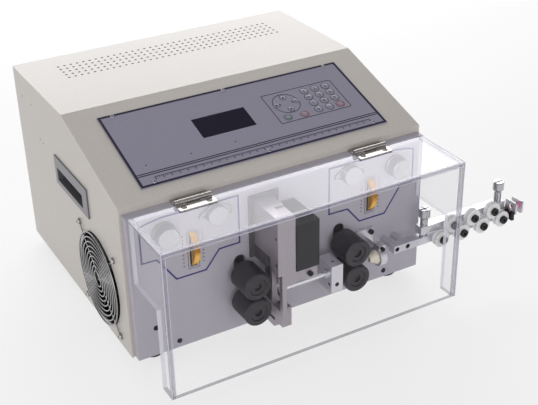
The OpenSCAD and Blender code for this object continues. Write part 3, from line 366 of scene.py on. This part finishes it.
def rectangle(u, v, corner=0.0):
    """Rectangle between two values each way, with rounded corners."""
    if corner <= 0:
        return [(u[0], v[0]), (u[1], v[0]), (u[1], v[1]), (u[0], v[1])]
    points = []
    for i, (cu, cv) in enumerate([(u[1] - corner, v[1] - corner), (u[0] + corner, v[1] - corner),
                                  (u[0] + corner, v[0] + corner), (u[1] - corner, v[0] + corner)]):
        for k in range(CORNER_STEPS + 1):
            a = math.pi / 2 * (i + k / CORNER_STEPS)
            points.append((cu + corner * math.cos(a), cv + corner * math.sin(a)))
    return points


def framed(shape, u, v, width, low, high, corner):
    """Thin rounded frame line."""
    outer = rectangle(u, v, corner)
    inner = rectangle((u[0] + width, u[1] - width), (v[0] + width, v[1] - width), max(0.3, corner - width))
    shape.band(outer, inner, low, high)


# Pan heads, in shares of the head's radius and height: outline from the middle out, and cross recess, drawn
# as a dark mark of painted shade
HEAD_OUTLINE = ((0.0, 1.0), (0.55, 0.93), (0.85, 0.65), (1.0, 0.15))
HEAD_SINK = 0.2
CROSS_REACH, CROSS_HALF = 0.55, 0.16
CROSS_LOW, CROSS_HIGH = 0.5, 1.02


def pan_screws(name, place, spots, r, height, look=zinc, base=0.0, body=ROOT):
    """Round headed screws; the cross recess is a dark mark of painted shade."""
    heads, cross_shades = Shape(place), Shape(place)
    outline = [(r * out, base + height * up) for out, up in HEAD_OUTLINE] + [(r, base - HEAD_SINK)]
    reach, half = r * CROSS_REACH, r * CROSS_HALF
    for u, v in spots:
        heads.lathe(u, v, outline)
        # The dark cross is painted shade standing for the hollow recess
        for half_u, half_v in ((reach, half), (half, reach)):
            cross_shades.prism(rectangle((u - half_u, u + half_u), (v - half_v, v + half_v)),
                          base + height * CROSS_LOW, base + height * CROSS_HIGH)
    heads.piece(name, look, body, smooth=True)
    cross_shades.piece(name + "_cross_shade", painted_hole_shade, body)


def number(name, text, place, spot, size, look):
    """Plain digit printed on a face."""
    curve = bpy.data.curves.new(name, "FONT")
    curve.body = text
    curve.size = size
    curve.align_x = "CENTER"
    curve.align_y = "CENTER"
    curve.materials.append(look)
    made = bpy.data.objects.new(name, curve)
    bpy.context.scene.collection.objects.link(made)
    made.matrix_world = place @ Matrix.Translation(spot)
    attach(made, ROOT)


# Control face: a printed film with frames, ruler, keys and dots
FILM = 1.2
PRINT = FILM + 0.12
OVERLAY_U, OVERLAY_S = (-164.0, 164.0), (18.0, 146.0)
MARGIN, BORDER_W = 0.5, 3.0
border = Shape(ON_SLOPE)
framed(border, (OVERLAY_U[0] + MARGIN, OVERLAY_U[1] - MARGIN), (OVERLAY_S[0] + MARGIN, OVERLAY_S[1] - MARGIN),
       BORDER_W, FILM, PRINT, corner=0.8)
border.piece("overlay_border", border_ink)

KEY_FIELD_U, KEY_FIELD_S = (38.0, 138.3), (60.0, 115.5)
RULE_U, RULE_S, RULE_HALF = (-160.0, 160.0), (39.0, 36.0), 0.65
lines = Shape(ON_SLOPE)
framed(lines, KEY_FIELD_U, KEY_FIELD_S, 0.9, FILM, PRINT, corner=2.0)
for s in RULE_S:
    lines.prism(rectangle(RULE_U, (s - RULE_HALF, s + RULE_HALF)), FILM, PRINT)
lines.piece("overlay_lines", black_print)

RULER_U, RULER_LINE, RULER_TOP = (-142.0, 145.0), (30.7, 31.3), 30.8
RULER_PARTS = 29
LONG_LOW, LONG_HALF = 26.2, 0.45
SHORT_LOW, SHORT_HALF = 28.4, 0.25
ruler = Shape(ON_SLOPE)
ruler.prism(rectangle(RULER_U, RULER_LINE), FILM, PRINT)
for mark in range(4 * RULER_PARTS + 1):
    u = RULER_U[0] + mark * (RULER_U[1] - RULER_U[0]) / (4 * RULER_PARTS)
    start, half = (SHORT_LOW, SHORT_HALF) if mark % 4 else (LONG_LOW, LONG_HALF)
    ruler.prism(rectangle((u - half, u + half), (start, RULER_TOP)), FILM, PRINT)
ruler.piece("ruler_marks", border_ink)

DOTS_U, DOTS_S, DOT_R = (-143.5, -87.3, -29.7), 51.5, 0.9
dots = Shape(ON_SLOPE)
for u in DOTS_U:
    dots.prism(circle(u, DOTS_S, DOT_R, 16), FILM, PRINT)
dots.piece("indicator_dots", black_print)

# Number keys, a round pad of four keys and two wider keys, each a low dome in a printed ring
KEY_U, KEY_S, KEY_R = (95.3, 110.9, 126.4), (106.0, 93.9, 81.7, 69.1), 5.3
KEY_TOP = FILM + 0.35
KEY_PRINT = KEY_TOP + 0.1
GREEN_KEY, RED_KEYS = (51.4, 69.0), ((126.4, 69.1), (74.0, 67.4))
PAD, PAD_R, PAD_HUB_R = (62.4, 92.7), 17.8, 7.4
PAD_PLUS, PAD_MINUS, PAD_UP, PAD_DOWN = (48.8, 93.0), (76.2, 93.3), (63.5, 103.4), (63.2, 81.6)
PAD_BEND, PAD_LINE = 38, 0.8
keys, key_rings = Shape(ON_SLOPE), Shape(ON_SLOPE)


def key(u, s, flat_r, foot_r, ring, steps):
    """A dome, flat to one radius and down to the film at another, with a ring between two radii."""
    keys.lathe(u, s, [(0, KEY_TOP), (flat_r, KEY_TOP), (foot_r, FILM)], steps)
    key_rings.band(circle(u, s, ring[0], steps), circle(u, s, ring[1], steps), FILM, PRINT)


for u in KEY_U:
    for s in KEY_S:
        key(u, s, flat_r=KEY_R - 0.8, foot_r=KEY_R, ring=(KEY_R + 0.5, KEY_R - 0.15), steps=28)
for u, s in (GREEN_KEY, RED_KEYS[1]):
    key(u, s, flat_r=KEY_R - 0.6, foot_r=KEY_R + 0.2, ring=(KEY_R + 0.5, KEY_R + 0.05), steps=28)
key_rings.band(circle(*PAD, PAD_R, 48), circle(*PAD, PAD_R - PAD_LINE, 48), FILM, PRINT)
for turn in range(4):
    for bend in (-PAD_BEND, PAD_BEND):
        a = math.radians(45 + 90 * turn + bend)
        ends = [(PAD[0] + r * math.cos(a), PAD[1] + r * math.sin(a)) for r in (PAD_HUB_R, PAD_R)]
        key_rings.line(ends, PAD_LINE, FILM, PRINT)
for u, s in (PAD_PLUS, PAD_MINUS, PAD_UP, PAD_DOWN):
    key(u, s, flat_r=3.4, foot_r=4.2, ring=(4.4, 4.0), steps=24)
keys.piece("key_domes", overlay_raised, smooth=True)
key_rings.piece("key_outlines", black_print)

DIGITS = (("1", "2", "3"), ("4", "5", "6"), ("7", "8", "9"), ("0", "-"))
DIGIT_SIZE = 6.4
for row, s in zip(DIGITS, KEY_S):
    for text, u in zip(row, KEY_U):
        name = "digit_minus" if text == "-" else f"digit_{text}"
        number(name, text, ON_SLOPE, (u, s, KEY_TOP + 0.05), DIGIT_SIZE, black_print)
STROKE, STROKE_HALF = 1.8, 0.45
ARROW_U, ARROW_HALF, ARROW_FOOT, ARROW_TIP = 63.4, 1.7, 1.2, 1.8
signs = Shape(ON_SLOPE)
for (u, s), half_u, half_s in ((PAD_PLUS, STROKE, STROKE_HALF), (PAD_PLUS, STROKE_HALF, STROKE),
                               (PAD_MINUS, STROKE, STROKE_HALF)):
    signs.prism(rectangle((u - half_u, u + half_u), (s - half_s, s + half_s)), KEY_TOP, KEY_PRINT)
for s, side in ((PAD_UP[1], 1), (PAD_DOWN[1], -1)):
    foot, tip = s - side * ARROW_FOOT, s + side * ARROW_TIP
    arrow = [(ARROW_U - ARROW_HALF, foot), (ARROW_U + ARROW_HALF, foot), (ARROW_U, tip)]
    signs.prism(arrow[::side], KEY_TOP, KEY_PRINT)
signs.piece("pad_signs", black_print)
MARK_R = (4.4, 3.4)
KEY_MARKS = {"red_key_marks": (red_print, RED_KEYS), "green_key_mark": (green_print, (GREEN_KEY,))}
for name, (look, spots) in KEY_MARKS.items():
    marks = Shape(ON_SLOPE)
    for u, s in spots:
        marks.band(circle(u, s, MARK_R[0]), circle(u, s, MARK_R[1]), KEY_TOP, KEY_PRINT)
    marks.piece(name, look)
FILM_SCREWS = [(u, s) for u in (-146.0, 0.0, 146.0) for s in (142.6, 23.6)]
pan_screws("overlay_screws", ON_SLOPE, FILM_SCREWS, r=2.6, height=1.4, look=cap_steel, base=FILM)

# Front panel: blue outline fields, thumbwheel frames, scale dots and knob dials
INK, FIELD_LINE, FINE_LINE = 0.15, 2.0, 0.5
FIELD = [(-158, 181.5), (-61, 181.5), (-61, 120.0), (-87.5, 119.6), (-105.3, 97.4), (-142.7, 97.4),
         (-165.0, 130.0), (-183, 130.5), (-183, 176.0), (-176, 178.5), (-158, 181.5)]
WHEEL_U, WHEEL_FRAME_HALF, WHEEL_FRAME_V = 120.0, 7.2, (105.0, 155.0)
SCALE_U, SCALE_V, SCALE_PITCH, SCALE_COUNT, SCALE_R = 12.5, 110.5, 4.9, 9, 0.8
KNOB_U, KNOB_V, KNOB_FRONT, KNOB_R = 155.0, 162.0, -30.0, 12.0
DIAL_R, DIAL_MARKS, DIAL_START, DIAL_STEP = (15.5, 17.6), 11, -60, 30
for side, name in ((-1, "left"), (1, "right")):
    fields = Shape(ON_PANEL)
    fields.line([(-side * u, v) for u, v in FIELD][::-side], FIELD_LINE, 0.0, INK)
    fields.piece(f"{name}_field_line", navy)
    scale = Shape(ON_PANEL)
    wheel = side * WHEEL_U
    wheel_frame_u = (wheel - WHEEL_FRAME_HALF, wheel + WHEEL_FRAME_HALF)
    framed(scale, wheel_frame_u, WHEEL_FRAME_V, FINE_LINE, 0.0, INK, corner=0.8)
    for row in (-SCALE_U, SCALE_U):
        for i in range(SCALE_COUNT):
            scale.prism(circle(wheel + row, SCALE_V + i * SCALE_PITCH, SCALE_R, 12), 0.0, INK)
    for i in range(DIAL_MARKS):
        a = math.radians(DIAL_START + DIAL_STEP * i)
        ends = [(side * KNOB_U + r * math.cos(a), KNOB_V + r * math.sin(a)) for r in DIAL_R]
        scale.line(ends, FINE_LINE, 0.0, INK)
    scale.piece(f"{name}_scale_marks", black_print)
PANEL_SCREWS = ((-172.6, 40.5), (-144.7, 12.0), (144.7, 12.0), (172.6, 40.5))
CAP_U, CAP_EAR, CAP_V, CAP_FLANGE = 90.0, 16.5, 167.5, 3.0
CAP_SCREWS = [(side * CAP_U + ear, CAP_V) for side in (-1, 1) for ear in (-CAP_EAR, CAP_EAR)]
pan_screws("panel_screws", ON_PANEL, PANEL_SCREWS, r=3.3, height=1.8, look=black_steel)
pan_screws("cap_screws", ON_PANEL, CAP_SCREWS, r=2.6, height=1.5, base=CAP_FLANGE)

# Spun faces of the two pressure knobs, each about its own middle so that the grain runs in rings
FACE_T, FACE_EDGE = 0.12, 0.4
for side, name in ((-1, "left"), (1, "right")):
    face = Shape(Matrix.Scale(MM, 4))
    face.lathe(0, 0, [(0, FACE_T), (KNOB_R - FACE_EDGE, FACE_T), (KNOB_R, 0.0)], 64)
    disc = bpy.data.meshes.new(f"{name}_knob_face")
    disc.from_pydata([face.place @ Vector(p) for p in face.verts], [], face.faces)
    disc.materials.append(spun)
    spun_face = bpy.data.objects.new(f"{name}_knob_face", disc)
    bpy.context.scene.collection.objects.link(spun_face)
    front = basis((side * KNOB_U, KNOB_FRONT, KNOB_V), (1, 0, 0), (0, 0, 1), (0, -1, 0))
    spun_face.matrix_world = front @ Matrix.Scale(1 / MM, 4)
    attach(spun_face, f"{name}_pressure_knob")

# Casing: fan guard screws, rivets, vent holes as dark discs of painted shade, and rear screws
FAN_Y, FAN_Z, FAN_SCREW, GUARD_EYE = 82.0, 65.6, 52.5, 2.6
GUARD_SCREWS = [(-(FAN_Y + a), FAN_Z + b) for a in (-FAN_SCREW, FAN_SCREW) for b in (-FAN_SCREW, FAN_SCREW)]
RIVETS = ((312.4, 216.4), (276.6, 217.3), (257.0, 176.4), (246.0, 176.0))
pan_screws("guard_screws", ON_LEFT, GUARD_SCREWS, r=3.2, height=1.6, base=GUARD_EYE)
pan_screws("left_rivets", ON_LEFT, [(-y, z) for y, z in RIVETS], r=1.9, height=0.5)
pan_screws("right_rivets", ON_RIGHT, RIVETS, r=1.9, height=0.5)
VENT_COLUMNS, VENT_ROWS = 36, 5
VENT_HALF, VENT_Y, VENT_PITCH, VENT_R, VENT_T = 151.0, 263.0, 10.2, 1.7, 0.06
# Each vent hole is a thin dark disc on the top, painted shade for the dark inside
hole_shades = Shape(ON_TOP)
for i in range(VENT_COLUMNS):
    for k in range(VENT_ROWS):
        u = -VENT_HALF + i * 2 * VENT_HALF / (VENT_COLUMNS - 1)
        hole_shades.prism(circle(u, VENT_Y + k * VENT_PITCH, VENT_R, 12), 0.0, VENT_T)
hole_shades.piece("vent_hole_shades", painted_hole_shade)
REAR_SCREWS = [(u, v) for u in (-185.0, 0.0, 185.0) for v in (14.0, 234.0)]
pan_screws("rear_screws", ON_REAR, REAR_SCREWS, r=2.9, height=1.5)

# Hinge leaf screws, each on a dark disc a little wider than its head, painted shadow of the countersink
LEAF_TOP, HINGE_U, LEAF_SCREW = 192.5, 117.0, 15.5
REAR_LEAF_Y, FRONT_LEAF_Y = -6.2, -23.5
SINK_SHADOW_R, SINK_SHADOW_LOW, SINK_SHADOW_HIGH = 3.3, -0.2, 0.12
ON_LEAVES = basis((0, 0, LEAF_TOP), (1, 0, 0), (0, 1, 0), (0, 0, 1))
for side, name in ((-1, "left"), (1, "right")):
    for leaf, body, row in (("rear", ROOT, REAR_LEAF_Y), ("front", "cover", FRONT_LEAF_Y)):
        spots = [(side * HINGE_U + off, row) for off in (-LEAF_SCREW, LEAF_SCREW)]
        # Dark discs under the heads are painted shadow
        sink_shadows = Shape(ON_LEAVES)
        for spot in spots:
            sink_shadows.prism(circle(*spot, SINK_SHADOW_R), SINK_SHADOW_LOW, SINK_SHADOW_HIGH)
        sink_shadows.piece(f"{name}_{leaf}_leaf_sink_shadows", painted_hole_shade, body)
        pan_screws(f"{name}_{leaf}_leaf_screws", ON_LEAVES, spots, r=2.4, height=1.0, look=nickel, body=body)

# Tinted bars in the glued corners of the clear sheets, painted shade for the thick corners, and thin bright
# lines along their outer edges, painted highlights
CORNER_SHADE_GAP, LINE, PROUD, SUNK = 0.4, 0.8, 0.15, 0.1
corner_shades, edge_highlights = Shape(WORLD), Shape(WORLD)
inner_x, inner_y, inner_z = COVER_HALF - COVER_T, COVER_FRONT + COVER_T, COVER_TOP - COVER_T


def corner_shade_bar(u, v, w):
    """A tinted bar a little inside a glued corner of the cover, painted shade."""
    corner_shades.prism(rectangle((u[0] + CORNER_SHADE_GAP, u[1] - CORNER_SHADE_GAP), (v[0] + CORNER_SHADE_GAP, v[1] - CORNER_SHADE_GAP)),
                w[0] + CORNER_SHADE_GAP, w[1] - CORNER_SHADE_GAP)


def edge_highlight_line(u, v, w):
    """A thin bright line on an outer edge of the cover, a painted highlight."""
    edge_highlights.prism(rectangle(u, v), *w)


whole = (-COVER_HALF, COVER_HALF)
on_top = (COVER_TOP - LINE, COVER_TOP + PROUD)
corner_shade_bar(whole, (COVER_FRONT, inner_y), (inner_z, COVER_TOP))
edge_highlight_line(whole, (COVER_FRONT - PROUD, COVER_FRONT + LINE), on_top)
edge_highlight_line(whole, (COVER_FRONT - PROUD, COVER_FRONT + SUNK), (inner_z - LINE / 2, inner_z + LINE / 2))
for side in (-1, 1):
    across = sorted((side * inner_x, side * COVER_HALF))
    rim = sorted((side * (COVER_HALF - LINE), side * (COVER_HALF + PROUD)))
    inner_rim = sorted((side * (inner_x - LINE / 2), side * (inner_x + LINE / 2)))
    corner_shade_bar(across, (inner_y, COVER_BACK), (inner_z, COVER_TOP))
    corner_shade_bar(across, (COVER_FRONT, inner_y), (COVER_LOW, inner_z))
    edge_highlight_line(rim, (COVER_FRONT + LINE, COVER_BACK), on_top)
    edge_highlight_line(inner_rim, (inner_y, COVER_BACK), (COVER_TOP - SUNK, COVER_TOP + PROUD))
    edge_highlight_line(rim, (COVER_FRONT - PROUD, COVER_FRONT + LINE), (COVER_LOW, COVER_TOP - LINE))
    edge_highlight_line(inner_rim, (COVER_FRONT - PROUD, COVER_FRONT + SUNK), (COVER_LOW, inner_z))
corner_shades.piece("cover_corner_shades", clear_corner_shade, "cover", "clear_acrylic")
edge_highlights.piece("cover_edge_highlights", painted_edge_highlight, "cover", "clear_acrylic")

# Dark screws sunk in the guide block and the cheek of the cutter head
SUNK_LOW, SUNK_HIGH = -1.6, -0.5


def sunk_screws(name, place, spots, r, body=ROOT):
    """Dark screw heads a little below a face."""
    heads = Shape(place)
    for u, v in spots:
        heads.prism(circle(u, v, r), SUNK_LOW, SUNK_HIGH)
    heads.piece(name, black_steel, body)


def facing_left(x):
    """A face that looks to the left at x; its first direction runs to the front."""
    return basis((x, 0, 0), (0, -1, 0), (0, 0, 1), (-1, 0, 0))


BLOCK_LEFT, BLOCK_FRONT, CHEEK_LEFT = 35.0, -60.0, -43.0
ON_BLOCK = basis((0, BLOCK_FRONT, 0), (1, 0, 0), (0, 0, 1), (0, -1, 0))
sunk_screws("block_side_screws", facing_left(BLOCK_LEFT), [(41.0, 56.0), (54.5, 52.5)], r=2.35,
            body="swing_guide")
sunk_screws("block_front_screw", ON_BLOCK, [(43.0, 52.5)], r=2.75, body="swing_guide")
sunk_screws("cheek_screws", facing_left(CHEEK_LEFT), [(65.5, 110.0), (65.5, 145.0)], r=2.15)

# Camera where the photograph was taken
AZIMUTH, ELEVATION, ROLL = (math.radians(a) for a in (-29.104, 29.223, -1.287))
FOCAL_PX, IMAGE_W, SENSOR_W = 1056.021, 538.0, 36.0
EYE = Vector((-536.929, -939.207, 753.916))
back = Vector((math.sin(AZIMUTH) * math.cos(ELEVATION), -math.cos(AZIMUTH) * math.cos(ELEVATION),
               math.sin(ELEVATION)))
level = Vector((0, 0, 1)).cross(back).normalized()
upright = back.cross(level)
right = math.cos(ROLL) * level + math.sin(ROLL) * upright
up = -math.sin(ROLL) * level + math.cos(ROLL) * upright
eye = (EYE + SHIFT) * MM
lens = bpy.data.cameras.new("camera")
lens.sensor_fit = "HORIZONTAL"
lens.sensor_width = SENSOR_W
lens.lens = SENSOR_W * FOCAL_PX / IMAGE_W
lens.clip_start = 0.01
camera = bpy.data.objects.new("camera", lens)
bpy.context.scene.collection.objects.link(camera)
camera.matrix_world = Matrix([[right[i], up[i], back[i], eye[i]] for i in range(3)] + [[0, 0, 0, 1]])
bpy.context.scene.camera = camera

# Plain pale floor, nearly white to the camera and in reflections, which keeps the shadow of the machine
FLOOR, WHITE_SHARE = 30.0, 0.68
floor_mesh = bpy.data.meshes.new("floor")
floor_corners = [(x, y, 0) for x, y in rectangle((-FLOOR, FLOOR), (-FLOOR, FLOOR))]
floor_mesh.from_pydata(floor_corners, [], [(0, 1, 2, 3)])
floor = bpy.data.objects.new("floor", floor_mesh)
bpy.context.scene.collection.objects.link(floor)
floor_look = material("floor_white", (0.90, 0.89, 0.90), 0.6)
floor_mesh.materials.append(floor_look)
tree = floor_look.node_tree
glow = tree.nodes.new("ShaderNodeEmission")
glow.inputs["Color"].default_value = (1, 1, 1, 1)
glow.inputs["Strength"].default_value = 1.0
path = tree.nodes.new("ShaderNodeLightPath")
straight = path.outputs["Is Camera Ray"]
for ray in ("Is Glossy Ray", "Is Transmission Ray"):
    either = tree.nodes.new("ShaderNodeMath")
    either.operation = "MAXIMUM"
    tree.links.new(straight, either.inputs[0])
    tree.links.new(path.outputs[ray], either.inputs[1])
    straight = either.outputs[0]
share = tree.nodes.new("ShaderNodeMath")
share.operation = "MULTIPLY"
share.inputs[1].default_value = WHITE_SHARE
mix = tree.nodes.new("ShaderNodeMixShader")
tree.links.new(straight, share.inputs[0])
tree.links.new(share.outputs[0], mix.inputs[0])
tree.links.new(tree.nodes["Principled BSDF"].outputs[0], mix.inputs[1])
tree.links.new(glow.outputs[0], mix.inputs[2])
tree.links.new(mix.outputs[0], tree.nodes["Material Output"].inputs["Surface"])

# Surroundings: as pale as the far floor low down, darker at half height and bright overhead
world = bpy.data.worlds.new("studio")
bpy.context.scene.world = world
world.use_nodes = True
tree = world.node_tree
SKY, HORIZON = 0.62, 0.8
LOW_SKY = HORIZON / SKY
SKY_TOP = (1.15, 1.13, 1.18, 1)
SKY_STOPS = ((0.2, LOW_SKY), (0.22, 1.0), (0.42, 1.0), (0.52, 0.25), (0.75, 0.35))
SKY_BLUE = 1.03
sky = tree.nodes["Background"]
sky.inputs["Strength"].default_value = SKY
toward = tree.nodes.new("ShaderNodeTexCoord")
split = tree.nodes.new("ShaderNodeSeparateXYZ")
ramp = tree.nodes.new("ShaderNodeValToRGB")
ramp.color_ramp.elements[0].position = 0.0
ramp.color_ramp.elements[0].color = (LOW_SKY, LOW_SKY, LOW_SKY, 1)
ramp.color_ramp.elements[1].position = 1.0
ramp.color_ramp.elements[1].color = SKY_TOP
for position, tone in SKY_STOPS:
    stop = ramp.color_ramp.elements.new(position)
    stop.color = (tone, tone, tone * SKY_BLUE, 1)
tree.links.new(toward.outputs["Generated"], split.inputs["Vector"])
tree.links.new(split.outputs["Z"], ramp.inputs["Fac"])
tree.links.new(ramp.outputs["Color"], sky.inputs["Color"])


def panel_light(name, place, aim, size, power):
    """A soft rectangular lamp, in metres and watts."""
    lamp = bpy.data.lights.new(name, "AREA")
    lamp.shape = "RECTANGLE"
    lamp.size, lamp.size_y = size
    lamp.energy = power
    made = bpy.data.objects.new(name, lamp)
    bpy.context.scene.collection.objects.link(made)
    made.location = place
    made.rotation_euler = (Vector(aim) - Vector(place)).to_track_quat("-Z", "Y").to_euler()


panel_light("key", place=(0.7, 1.9, 1.1), aim=(0, 0, 0.15), size=(2.4, 1.4), power=35)
panel_light("left_fill", place=(-1.7, -0.2, 0.8), aim=(0, 0, 0.15), size=(1.2, 1.2), power=5)
panel_light("front_fill", place=(-0.5, -1.9, 0.7), aim=(0, 0, 0.12), size=(1.6, 1.0), power=11)

bpy.context.scene.view_settings.view_transform = "Standard"
